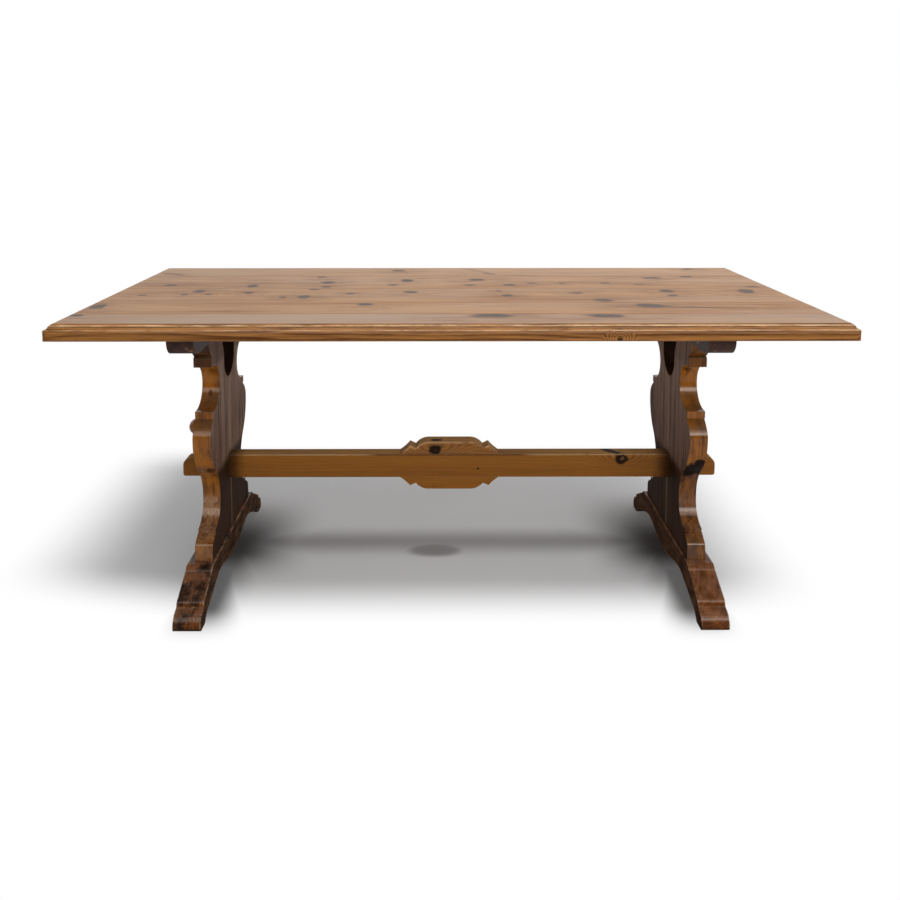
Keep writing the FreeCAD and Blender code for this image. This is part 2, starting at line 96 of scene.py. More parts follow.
# Where a finish changes, in metres: the place where it starts and the place where it is full
FACE_RIM = (TOP_LEVEL - 0.0016, TOP_LEVEL - 0.0004)
FACE_FADED = (-0.10, 0.38)
# Below this the broad faces and strips of the boards turn darker, partly their own tone and partly
# painted shade
BOARD_SHADE_LINE = (STRETCHER_LOW.z + 0.045, STRETCHER_HIGH.z + 0.012)
# Here the broad faces turn palest towards the bearer, partly their own tone and partly painted light
BOARD_PALE = (0.36, 0.58)
BOARD_BLOCK = (BOARD_TOP - 0.078, BOARD_TOP - 0.060)
BOARD_NECK = (0.36, 0.28)
BOARD_SCUFFED = (FOOT_TOP + 0.142, FOOT_TOP + 0.120)
BOARD_ABOVE_FOOT = (FOOT_TOP + 0.040, FOOT_TOP + 0.066)
OPENING_SIDE = (0.083, 0.076)
OPENING_UPPER = (0.500, 0.530)
FOOT_SOLE = (0.016, 0.001)
GLUE_LINE = (STRETCHER_HIGH.z - 0.0052, STRETCHER_HIGH.z - 0.0032)
GLUE_REACH = (0.28, 0.18)
STRETCHER_RIM = (STRETCHER_HIGH.z - 0.0042, STRETCHER_HIGH.z - 0.0026)
RIM_REACH = (0.19, 0.23)
CREST_SEAT = (STRETCHER_HIGH.z + 0.003, STRETCHER_HIGH.z + 0.009)
# Painted shade at the ends of the stretcher, where they meet the boards
END_SHADE_START = (0.548, 0.594)
END_SHADE_STOP = (0.622, 0.618)

# The shade that the floor shows: its front edge, from none to full, and where it is full at the
# back and at the sides; its middle lies to the left, and its front corners slant back
SHADE_FRONT = (-0.30, -0.085)
SHADE_FULL_BEHIND = 0.58
SHADE_FULL_ACROSS = 0.73
SHADE_LEFTWARDS = 0.12
SHADE_SLANT = 0.20

# Painted shadow on the floor, deeper beside and under the feet, under the stretcher and under the lower
# ornament
FOOT_SHADE = (FOOT_SIDE - 0.23, FOOT_SIDE)
FOOT_SHADE_FRONT = (-0.14, 0.05)
CONTACT_SHADE = (FOOT_SIDE - 0.105, FOOT_SIDE)
CONTACT_FRONT = (-0.37, -0.22)
PAST_FOOT = (FOOT_SIDE + 0.11, FOOT_SIDE + 0.03)
FEET_BACK = (0.45, 0.10)
STRETCHER_SHADE_LINE = 0.10
STRETCHER_SHADE_REACH = 0.10
STRETCHER_SHADE_END = (0.75, 0.60)
CREST_SHADE_PLACE = (-0.04, 0.055)
CREST_SHADE_REACH = (0.110, 0.050)

# Lamps: name, property that holds the power, place, target, width and height
LAMPS = (
    ("roof_lamp", "roof_light", (0.25, -0.45, 2.6), (0.05, -0.05, 0), 3.2, 1.7),
    ("front_lamp", "front_light", (1.0, -3.0, 1.75), (0, -0.1, 0.4), 4.0, 0.9),
    ("back_lamp", "back_light", (0.5, 3.0, 1.75), (0, 0.1, 0.4), 5.0, 0.9),
    ("side_lamp", "side_light", (-3.4, -0.2, 1.5), (0, 0, 0.4), 2.4, 1.2),
    ("side_lamp", "side_light", (3.4, -0.2, 1.5), (0, 0, 0.4), 2.4, 1.2),
    ("gloss_lamp", "gloss_light", (0.2, -3.0, 2.4), (0, -0.1, 0.4), 5.2, 2.4),
)
LAMPS_WITHOUT_GLOSS = ("back_lamp", "side_lamp")
SENSOR_WIDTH = 36

# Colours of the floor: as the table meets it, as the camera does, and as the painted shadow that the
# camera sees
FLOOR_LIT = (0.78, 0.78, 0.78)
FLOOR_SHOWN = (0.70, 0.715, 0.73)
FLOOR_PAINTED_SHADOW = (0.11, 0.11, 0.11)
WHITE = (1.0, 1.0, 1.0)

# Directions from the front to the back, between which gloss starts to meet the white room
ROOM_BACK = (-0.15, 0.25)

# The old nail: its place, the steps round it, and the rise and rings of its low dome
NAIL_PLACE = (0.078, STRETCHER_LOW.y, 0.269)
NAIL_STEPS = 20
NAIL_RISE = 0.25
NAIL_RINGS = (1.0, 0.92, 0.70, 0.40)

# Half width of the amber band behind each seam, and the knot in the front edge
SEAM_BAND = 0.009
EDGE_KNOT_ALONG = 0.366
EDGE_KNOT_LEVEL = 0.7235
EDGE_KNOT_REACH = (0.0060, 0.030, 0.0036)

# Marks and knots: centre, reach to each side and turn about Z in degrees
LEFT_BOARD_MARKS = (
    ((-BOARD_MIDDLE, -0.092, 0.506), (0.006, 0.030, 0.008), 0),
    ((-BOARD_MIDDLE + 0.012, -0.145, 0.318), (0.012, 0.020, 0.014), 0),
    ((-BOARD_MIDDLE + 0.006, -0.110, 0.250), (0.002, 0.020, 0.018), 0),
)
RIGHT_BOARD_MARKS = (
    ((BOARD_MIDDLE - 0.004, -0.146, 0.320), (0.034, 0.040, 0.030), 0),
    ((BOARD_MIDDLE + 0.010, -0.156, 0.346), (0.018, 0.030, 0.016), 0),
    ((BOARD_MIDDLE, -0.140, 0.492), (0.014, 0.012, 0.004), 0),
)
BACK_BOARD_MARKS = (
    ((0.62, 0.12, 0.42), (0.010, 0.010, 0.014), 0),
)
STRETCHER_KNOTS = (
    ((0.467, STRETCHER_LOW.y, 0.2950), (0.017, 0.030, 0.0135), 0),
    ((0.440, STRETCHER_LOW.y + 0.021, STRETCHER_HIGH.z), (0.036, 0.010, 0.010), -40),
)
UPPER_CREST_KNOTS = (
    ((-0.038, STRETCHER_LOW.y, 0.3210), (0.017, 0.034, 0.0125), 0),
    ((-0.036, STRETCHER_LOW.y + 0.012, CREST_TOP), (0.015, 0.007, 0.006), 0),
)
LOWER_CREST_KNOTS = (
    ((0.300, STRETCHER_LOW.y, 0.2200), (0.010, 0.010, 0.006), 0),
)

# Knots of each plank: place along and across the table, half length, half width, turn in degrees.
# The stained rim adds a quarter to their size.
KNOT_GROWTH = 1.25
PLANK_KNOTS = {
    "top_plank_1": (
        (-0.868, -0.300, 0.024, 0.014, 0),
        (0.090, -0.305, 0.056, 0.020, 0),
        (0.350, -0.306, 0.050, 0.020, 0),
    ),
    "top_plank_2": (
        (-0.856, -0.200, 0.020, 0.034, 0),
        (-0.209, -0.178, 0.024, 0.018, 0),
        (0.489, -0.196, 0.044, 0.024, -10),
        (0.580, -0.212, 0.090, 0.006, -5),
    ),
    "top_plank_3": (
        (-0.670, -0.008, 0.020, 0.022, 0),
        (-0.694, -0.054, 0.012, 0.010, 0),
        (-0.634, -0.048, 0.010, 0.010, 0),
        (-0.803, -0.060, 0.016, 0.007, 0),
        (-0.531, -0.030, 0.014, 0.014, 0),
        (-0.367, 0.018, 0.018, 0.010, 0),
        (-0.431, -0.088, 0.012, 0.014, 0),
        (-0.377, -0.084, 0.018, 0.026, 0),
        (-0.260, -0.042, 0.015, 0.012, 0),
        (-0.102, -0.018, 0.024, 0.016, 0),
        (0.132, -0.006, 0.010, 0.009, 0),
        (0.151, -0.066, 0.017, 0.016, 0),
        (0.334, -0.036, 0.022, 0.010, 0),
        (0.386, -0.128, 0.028, 0.022, -20),
        (0.584, -0.006, 0.024, 0.026, 0),
        (0.580, -0.066, 0.018, 0.011, 0),
        (0.794, -0.006, 0.027, 0.034, 0),
    ),
    "top_plank_4": (
        (-0.776, 0.084, 0.022, 0.016, 0),
        (-0.545, 0.071, 0.018, 0.026, 0),
        (-0.343, 0.125, 0.025, 0.024, 15),
        (-0.340, 0.058, 0.018, 0.016, 0),
        (-0.373, 0.211, 0.016, 0.010, 0),
        (-0.119, 0.153, 0.022, 0.026, 20),
        (-0.156, 0.084, 0.018, 0.010, 0),
        (0.081, 0.167, 0.030, 0.020, 0),
        (0.060, 0.084, 0.020, 0.010, 0),
        (0.170, 0.084, 0.022, 0.014, 0),
        (0.233, 0.111, 0.022, 0.012, 0),
        (0.319, 0.111, 0.010, 0.008, 0),
        (0.444, 0.111, 0.018, 0.011, 0),
        (0.531, 0.084, 0.018, 0.007, 0),
        (0.595, 0.196, 0.034, 0.016, 0),
        (0.703, 0.215, 0.022, 0.012, 0),
        (0.838, 0.051, 0.022, 0.014, -20),
    ),
    "top_plank_5": (
        (-0.825, 0.262, 0.058, 0.005, -30),
        (-0.153, 0.327, 0.027, 0.018, 0),
        (0.126, 0.272, 0.040, 0.005, -55),
        (0.225, 0.234, 0.085, 0.005, -4),
        (0.755, 0.353, 0.018, 0.014, -20),
    ),
}


def srgb(red, green, blue):
    """A screen colour from 0 to 255 as the linear colour that shaders take."""
    shares = (channel / 255 for channel in (red, green, blue))
    return tuple(
        share / 12.92 if share <= 0.04045 else ((share + 0.055) / 1.055) ** 2.4
        for share in shares
    )


def colour(name, description, screen):
    return FloatVectorProperty(
        name=name, description=description, subtype="COLOR", size=3, min=0, max=1, default=srgb(*screen)
    )


def length(name, description, metres):
    return FloatProperty(name=name, description=description, unit="LENGTH", min=0, default=metres)


def angle(name, description, degrees):
    turn = math.radians(degrees)
    return FloatProperty(name=name, description=description, subtype="ANGLE", default=turn)


def power(name, description, watts):
    return FloatProperty(name=name, description=description, subtype="POWER", min=0, default=watts)


class TopLook(bpy.types.PropertyGroup):
    """Colours and sizes of the plank top"""

    face_light: colour("Face, light", "Faded early wood on the face of the top", (182, 141, 102))
    face_pale: colour("Face, pale", "Palest wood, towards the back edge", (220, 186, 158))
    face_dark: colour("Face, dark", "Late wood and streaks on the face of the top", (140, 92, 54))
    face_grey: colour("Face, grey", "Dull bloom, mostly on the front plank", (172, 144, 123))
    edge_light: colour("Edge, light", "Early wood of the moulded edge", (184, 124, 64))
    # Also the colour of the painted shade in the hollows of the moulding
    edge_dark: colour("Edge, dark", "Late wood of the moulded edge", (92, 50, 12))
    knot: colour("Knot", "Blue-grey heart of a knot", (84, 70, 64))
    knot_heart: colour("Edge knot", "Dark heart of the knot in the front edge", (48, 30, 20))
    wing: colour("Knot wing", "Stained wood that trails from a knot", (122, 86, 60))
    # Also the colour of the painted highlights along the moulding
    worn: colour("Worn arris", "Rubbed arrises of the moulding", (240, 204, 156))
    screw_bright: colour("Screw, bright", "Steel of the screws", (150, 146, 138))
    screw_tarnished: colour("Screw, tarnished", "Tarnish on the screws", (84, 70, 58))
    seam_width: length("Seam width", "Dark line between two planks", 0.0030)
    ring_width: length("Ring width", "Distance between growth rings", 0.0042)
    arris_width: length("Arris width", "Reach of the rubbed arrises", 0.0022)
    relief: length("Relief", "Depth of the grain", 0.0004)


class TrestleLook(bpy.types.PropertyGroup):
    """Colours and sizes of the trestle boards and bearers"""

    edge_light: colour("Edge, light", "Waxed early wood on the sawn edges", (174, 104, 14))
    edge_dark: colour("Edge, dark", "Dark stain on the sawn edges", (70, 36, 12))
    # Broad faces: grey above the stretcher, palest under the bearer (partly painted light), darker
    # below the stretcher (partly painted shade)
    face_upper: colour("Face, upper", "Dry grey wood above the stretcher", (138, 111, 95))
    face_top: colour("Face, top", "Palest wood, under the bearer", (184, 158, 142))
    face_lower: colour("Face, lower", "Brown wood below the stretcher", (64, 42, 27))
    # Also the colour of the painted shade inside the slots
    dark: colour("Dark streak", "Dark streaks and cracks", (30, 18, 13))
    burr: colour("Burr", "Black hearts of knots in the sawn edges", (16, 10, 8))
    stave: colour("Strip", "Pale strip between the halves of a board", (172, 140, 110))
    # The strip is darker below the stretcher, partly its own tone and partly painted shade
    stave_lower: colour("Strip, lower", "The strip below the stretcher", (104, 76, 50))
    bearer: colour("Bearer", "Red-brown bearers and blocks", (74, 42, 30))
    # Partly dust, partly a painted sheen on the edges that face upwards
    dust_and_sheen: colour("Dust", "Dull bloom on the edges that face upwards", (122, 94, 66))
    pale: colour("Rubbed patch", "Pale rubbed patches and arrises", (186, 146, 112))
    ring_width: length("Ring width", "Distance between growth rings", 0.0050)
    lathe_pitch: length("Lathe pitch", "Distance between the turning lines of the button", 0.0035)
    arris_width: length("Arris width", "Reach of the rubbed arrises of the boards", 0.0045)
    bearer_arris: length("Bearer arris", "Reach of the rubbed arrises of the bearers", 0.0026)
    relief: length("Relief", "Depth of the grain of the boards", 0.0005)
    bearer_relief: length("Bearer relief", "Depth of the grain of the bearers", 0.0006)
    fine_relief: length("Fine relief", "Depth of the grain of the strips and the button", 0.0003)


class FootLook(bpy.types.PropertyGroup):
    """Colours and sizes of the sled feet"""

    light: colour("Light", "Scuffed early wood", (146, 80, 24))
    dark: colour("Dark", "Stained late wood", (38, 19, 8))
    side: colour("Side", "Broad sides of the feet", (88, 66, 46))
    # Partly dry bloom, partly a painted sheen on the shoulders that face upwards
    dust_and_sheen: colour("Dust", "Dry bloom on the shoulders", (168, 140, 120))
    cream: colour("Chipped arris", "Chipped and rubbed arrises", (222, 194, 158))
    ring_width: length("Ring width", "Distance between growth rings", 0.0090)
    arris_width: length("Arris width", "Reach of the chipped arrises", 0.0085)
    relief: length("Relief", "Depth of the grain, scratches and dents", 0.0009)


class StretcherLook(bpy.types.PropertyGroup):
    """Colours and sizes of the stretcher and its ornament"""

    light: colour("Light", "Waxed early wood", (166, 104, 22))
    dark: colour("Dark", "Late wood", (112, 64, 8))
    crest_light: colour("Ornament, light", "Red-brown early wood of the upper ornament", (176, 114, 46))
    crest_dark: colour("Ornament, dark", "Late wood of the upper ornament", (86, 50, 20))
    # Partly a painted reflection of the top on the upper faces
    upper: colour("Upper face", "Dull upper faces", (186, 144, 84))
    # Also the colour of the painted shade at the ends of the stretcher
    knot: colour("Knot", "Heart of a knot", (20, 11, 7))
    core: colour("Knot core", "Paler middle of a knot", (150, 110, 74))
    bare: colour("Bare band", "Band along the ornament where the stain is worn off", (242, 192, 132))
    cream: colour("Rubbed arris", "Rubbed arrises of the stretcher and ornament", (214, 178, 136))
    nail_dark: colour("Nail, dark", "Old iron of the nail", (20, 13, 9))
    nail_rust: colour("Nail, rust", "Rust on the nail", (46, 28, 18))
    ring_width: length("Ring width", "Distance between growth rings", 0.0050)
    arris_width: length("Arris width", "Reach of the rubbed arrises", 0.0030)
    bare_width: length("Bare width", "Width of the worn band along the ornament", 0.0180)
    relief: length("Relief", "Depth of the grain", 0.0003)
    nail_radius: length("Nail radius", "Old nail head in the stretcher", 0.0030)


class StageLook(bpy.types.PropertyGroup):
    """Camera, lamps and floor"""

    camera_place: FloatVectorProperty(
        name="Camera place", description="Where the camera stands",
        subtype="TRANSLATION", unit="LENGTH", size=3, default=(-0.0373, -2.0788, 1.1537),
    )
    camera_pitch: angle("Camera pitch", "How far the camera looks down", 4.889)
    camera_yaw: angle("Camera yaw", "How far the camera turns to the right", 0.225)
    camera_lens: FloatProperty(
        name="Focal length", description="Lens of the camera on a 36 mm sensor",
        subtype="DISTANCE_CAMERA", default=31.325,
    )
    shift_across: FloatProperty(
        name="Shift across", description="Sideways shift of the lens", default=0.0127
    )
    shift_up: FloatProperty(name="Shift up", description="Upward shift of the lens", default=-0.268)
    room_light: FloatProperty(
        name="Room light", description="Strength of the even light", min=0, default=0.10
    )
    roof_light: power("Roof light", "Power of the soft light overhead", 37)
    front_light: power("Front light", "Power of the long light in front", 44)
    back_light: power("Back light", "Power of the soft light behind", 26)
    side_light: power("Side light", "Power of the soft light at each end", 8)
    gloss_light: power("Gloss light", "Power that the front light adds in the gloss alone", 122)
    gloss_tint: FloatVectorProperty(
        name="Gloss tint", description="Colour of the gloss light",
        subtype="COLOR", size=3, min=0, max=1, default=(1.0, 0.88, 0.77),
    )
    floor_reach: length("Floor reach", "Half the width of the floor", 15)
    shade_across: length("Shade across", "How far the floor shows shade on each side", 1.12)
    shade_behind: length("Shade behind", "How far back the floor shows shade", 0.83)


class Socket:
    """One output of a shader node; sums that are written with it add Math nodes."""

    def __init__(self, recipe, output):
        self.recipe = recipe
        self.output = output

    def maths(self, operation, *values):
        return self.recipe.node("ShaderNodeMath", {"operation": operation}, dict(enumerate(values)))

    def __add__(self, other):
        return self.maths("ADD", self, other)

    def __radd__(self, other):
        return self.maths("ADD", other, self)

    def __sub__(self, other):
        return self.maths("SUBTRACT", self, other)

    def __rsub__(self, other):
        return self.maths("SUBTRACT", other, self)

    def __mul__(self, other):
        return self.maths("MULTIPLY", self, other)

    def __rmul__(self, other):
        return self.maths("MULTIPLY", other, self)

    def __truediv__(self, other):
        return self.maths("DIVIDE", self, other)

    def __rtruediv__(self, other):
        return self.maths("DIVIDE", other, self)

    def __pow__(self, other):
        return self.maths("POWER", self, other)

    def __rpow__(self, other):
        return self.maths("POWER", other, self)

    def __abs__(self):
        return self.maths("ABSOLUTE", self)

    def least(self, other):
        return self.maths("MINIMUM", self, other)

    def most(self, other):
        return self.maths("MAXIMUM", self, other)

    def fraction(self):
        return self.maths("FRACT", self)

    def swing(self, reach):
        """Turns a noise from 0 to 1 into a plus or minus about nothing."""
        return (self - 0.5) * reach

    def smooth(self, start, end):
        """Rises softly from 0 at start to 1 at end; start may be the larger one."""
        settings = {"interpolation_type": "SMOOTHSTEP"}
        return self.recipe.node("ShaderNodeMapRange", settings, {0: self, 1: start, 2: end})


class Tree:
    """A node tree, with short ways to add nodes to it."""

    def __init__(self, tree):
        self.tree = tree

    def node(self, kind, settings=None, values=None, output=0):
        """Adds a node: its settings first, then a value or a link for each of its sockets."""
        made = self.tree.nodes.new(kind)
        for key, value in (settings or {}).items():
            setattr(made, key, value)
        for key, value in (values or {}).items():
            self.feed(made.inputs[key], value)
        return Socket(self, made.outputs[output])

    def feed(self, slot, value):
        if isinstance(value, Socket):
            self.tree.links.new(value.output, slot)
        elif slot.type == "RGBA":
            slot.default_value = (*value, 1.0)
        else:
            slot.default_value = value

    def parts(self, vector):
        split = self.node("ShaderNodeSeparateXYZ", None, {0: vector}).output.node
        return tuple(Socket(self, output) for output in split.outputs)

    def join(self, x, y, z):
        return self.node("ShaderNodeCombineXYZ", None, {0: x, 1: y, 2: z})

    def scaled(self, vector, scale, start):
        values = {0: vector, 1: scale, 2: start}
        return self.node("ShaderNodeVectorMath", {"operation": "MULTIPLY_ADD"}, values)

    def noise(self, vector, detail, rough=0.5):
        values = {"Vector": vector, "Scale": 1.0, "Detail": detail, "Roughness": rough}
        return self.node("ShaderNodeTexNoise", None, values)

    def mix(self, share, first, second):
        """The first colour where the share is 0, the second where it is 1."""
        values = {0: share, 6: first, 7: second}
        return self.node("ShaderNodeMix", {"data_type": "RGBA"}, values, output=2)


class Recipe(Tree):
    """The material of one finish."""

    def __init__(self, name, fixed=None):
        self.material = bpy.data.materials.new(name)
        self.material.use_nodes = True
        super().__init__(self.material.node_tree)
        self.surface = self.tree.nodes["Principled BSDF"]
        self.give(fixed or {})
        self.place = self.node("ShaderNodeTexCoord", output="Object")
        self.facing = self.node("ShaderNodeNewGeometry", output="True Normal")

    def give(self, values):
        """Sets or links sockets of the surface shader."""
        for key, value in values.items():
            self.feed(self.surface.inputs[key], value)

    def spots(self, scale, detail=2.0, rough=0.5, start=(0.0, 0.0, 0.0)):
        """Noise in the object's own space: the larger the scale, the finer the spots."""
        return self.noise(self.scaled(self.place, scale, start), detail, rough)

    def broadside(self):
        """1 on the broad faces of the trestles, 0 on their sawn edges."""
        return abs(self.parts(self.facing)[0]).smooth(0.5, 0.9)

    def upwards(self, start, end):
        """Rises from 0 to 1 as a face turns up."""
        return self.parts(self.facing)[2].smooth(start, end)

    def arris(self, radius):
        """How near a point is to an arris, from 0 to 1, and the normal that rounds the arris."""
        rounded = self.node("ShaderNodeBevel", {"samples": 6}, {"Radius": radius})
        pair = {0: rounded, 1: self.facing}
        likeness = self.node("ShaderNodeVectorMath", {"operation": "DOT_PRODUCT"}, pair, output="Value")
        return likeness.smooth(*ARRIS_TURN), rounded

    def bump(self, height, depth, normal):
        """A normal with the height worked in; the depth is in metres."""
        values = {"Strength": 1.0, "Distance": depth, "Height": height, "Normal": normal}
        return self.node("ShaderNodeBump", None, values)


def nearest_knot(recipe, knots):
    """Distance to the nearest knot, where 1 is its rim."""
    nearest = None
    for centre, reach, turn in knots:
        rotation = (0, 0, math.radians(turn))
        values = {"Vector": recipe.place, "Location": centre, "Rotation": rotation, "Scale": reach}
        inside = recipe.node("ShaderNodeMapping", {"vector_type": "TEXTURE"}, values)
        away = recipe.node("ShaderNodeVectorMath", {"operation": "LENGTH"}, {0: inside}, output="Value")
        nearest = away if nearest is None else nearest.least(away)
    return nearest


def grain(recipe, axes, heart, ring_width, wander, seed, pull=0.0):
    """Late wood of the rings round a heart line, fine fibres and broad streaks, each from 0 to 1."""
    parts = recipe.parts(recipe.place)
    along, across, deep = (parts[axis] for axis in axes)
    drift, fibre, streak = (
        recipe.noise(recipe.join(along * slow + seed, across * fast, deep * fast), detail, rough)
        for slow, fast, detail, rough in (DRIFT, FIBRE, STREAK)
    )
    sideways = across - heart[0]
    inwards = deep - heart[1]
    radius = (sideways * sideways + inwards * inwards) ** 0.5 + drift.swing(wander) + pull
    ring = (radius / ring_width).fraction()
    late = ring.smooth(0.25, 0.85) * ring.smooth(1.0, 0.90)
    return late, fibre, streak


def dress(name, *nodes):
    """Gives a finish to CAD nodes."""
    for node in nodes:
        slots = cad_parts[node].material_slots
        if not slots:
            raise RuntimeError(f"{node} has no material slot")
        for slot in slots:
            slot.material = bpy.data.materials[name]


def moulding_lines(recipe, look, wood, depth, fibre):
    """Painted shade, with some dirt, in the hollows of the moulding, and painted highlights, with some
    wear, on its rounds; the depth is below the face.
    """
    broken = recipe.spots((26, 260, 260), 3.0, 0.65)
    dirt_and_shade = broken.smooth(0.30, 0.52)
    # Where the pale lines show: painted highlights, with some wear
    worn = fibre.smooth(0.34, 0.56) * broken.smooth(0.66, 0.46)
    kinds = ((MOULDING_DARKS, dirt_and_shade, look.edge_dark), (MOULDING_PALES, worn, look.worn))
    for lines, share, tint in kinds:
        for line_depth, half_width, strength in lines:
            line = abs(depth - line_depth).smooth(half_width, half_width * 0.3)
            wood = recipe.mix(line * share * strength, wood, tint)
    return wood


def seam_lines(recipe, look, wood, seams, face, wavy):
    """A ragged dark line in each seam, and a band of amber wood behind it on the face."""
    y = recipe.parts(recipe.place)[1]
    for seam in seams:
        band = abs(y - seam - SEAM_BAND).smooth(SEAM_BAND, 0.002) * face
        ragged = abs(y - seam) + wavy * 0.001
        wood = recipe.mix(band * 0.35, wood, look.edge_light)
        wood = recipe.mix(ragged.smooth(look.seam_width, 0.0004) * 0.85, wood, look.edge_dark)
    return wood


def plank_finish(plank, look, seed):
    """Faded satin face with grey knots and dark seams, and a waxed, coarse moulded edge."""
    recipe = Recipe(f"{plank}_finish", {"Coat Roughness": 0.22, "Specular IOR Level": 0.11})
    y, z = recipe.parts(recipe.place)[1:]
    low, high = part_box(plank)
    face = z.smooth(*FACE_RIM)

    wavy = recipe.spots((30, 60, 60)) - 0.5
    knots = [
        ((along, across, 0), (half_length * KNOT_GROWTH, half_width * KNOT_GROWTH, 1), turn)
        for along, across, half_length, half_width, turn in PLANK_KNOTS[plank]
    ]
    near = nearest_knot(recipe, knots) + wavy * 0.5
    edge_knot = ((EDGE_KNOT_ALONG, low.y, EDGE_KNOT_LEVEL), EDGE_KNOT_REACH, 0)
    side_near = nearest_knot(recipe, [edge_knot]) + wavy * 0.4
    pull = near.smooth(3.2, 0.0) * 0.012 + side_near.smooth(7.0, 0.0) * 0.022
    heart = ((low.y + high.y) / 2 + 0.02, TOP_LEVEL - 0.06)
    late, fibre, streak = grain(recipe, TOP_AXES, heart, look.ring_width, 0.035, seed, pull)

    patch = recipe.spots((2.4, 14, 1), 3.0, start=(seed, seed, 0))
    fleck = recipe.spots((7, 100, 60), 3.0, 0.65, start=(0, seed, 0))
    tone = streak.swing(1.4) + patch.swing(1.6) + fleck.swing(1.3) + fibre.swing(0.8)
    faded = recipe.mix(tone + late * 0.32 + 0.20, look.face_light, look.face_dark)
    bloom = recipe.spots((1.6, 9, 1), 3.0, start=(seed, 0, 0)).smooth(0.45, 0.75)
    front = y.smooth(SEAMS[0] + 0.012, SEAMS[0] - 0.012)
    faded = recipe.mix(bloom * 0.5 + front * 0.55, faded, look.face_grey)
    faded = recipe.mix(y.smooth(*FACE_FADED) * 0.28, faded, look.face_pale)

    edge_tone = late * 0.55 + streak.swing(1.5) + fibre.swing(1.6) + 0.26
    moulded = recipe.mix(edge_tone, look.edge_light, look.edge_dark)
    moulded = moulding_lines(recipe, look, moulded, TOP_LEVEL - z, fibre)
    moulded = recipe.mix(side_near.smooth(1.2, 0.8) * 0.9, moulded, look.knot_heart)
    wood = recipe.mix(face, moulded, faded)

    wing = recipe.spots((9, 110, 60), start=(seed, 0, 0)).smooth(0.48, 0.62)
    halo = near.smooth(4.5, 1.0) * (0.06 + wing * 0.55) * face
    wood = recipe.mix(halo, wood, look.wing)
    rim = near.smooth(0.45, 0.85) * near.smooth(1.20, 0.95)
    core = (near.smooth(1.12, 0.86) * 0.74 + rim * 0.24) * face
    wood = recipe.mix(core, wood, look.knot)
    seams = [seam for seam in SEAMS if low.y - 0.001 < seam < high.y + 0.001]
    wood = seam_lines(recipe, look, wood, seams, face, wavy)

    near_arris, rounded = recipe.arris(look.arris_width)
    rubbed = near_arris * fibre.smooth(0.35, 0.65)
    height = fibre * 0.7 + late * 0.3 + near.smooth(0.8, 1.2) * face * 0.4
    recipe.give({
        "Base Color": recipe.mix(rubbed * 0.55, wood, look.worn),
        "Roughness": 0.36 + face * 0.12 + fibre.swing(0.25),
        "Coat Weight": 0.22 - face * 0.19,
        "Normal": recipe.bump(height, look.relief, rounded),
    })
    return recipe.material.name


class TABLE_OT_dress_top(bpy.types.Operator):
    """Finish the planks of the top"""

    bl_idname = "table.dress_top"
    bl_label = "Dress Top"

    def execute(self, context):
        look = context.scene.table_top_look
        for number, plank in enumerate(PLANKS):
            dress(plank_finish(plank, look, 3.7 * number + 1.0), plank)
        return {"FINISHED"}


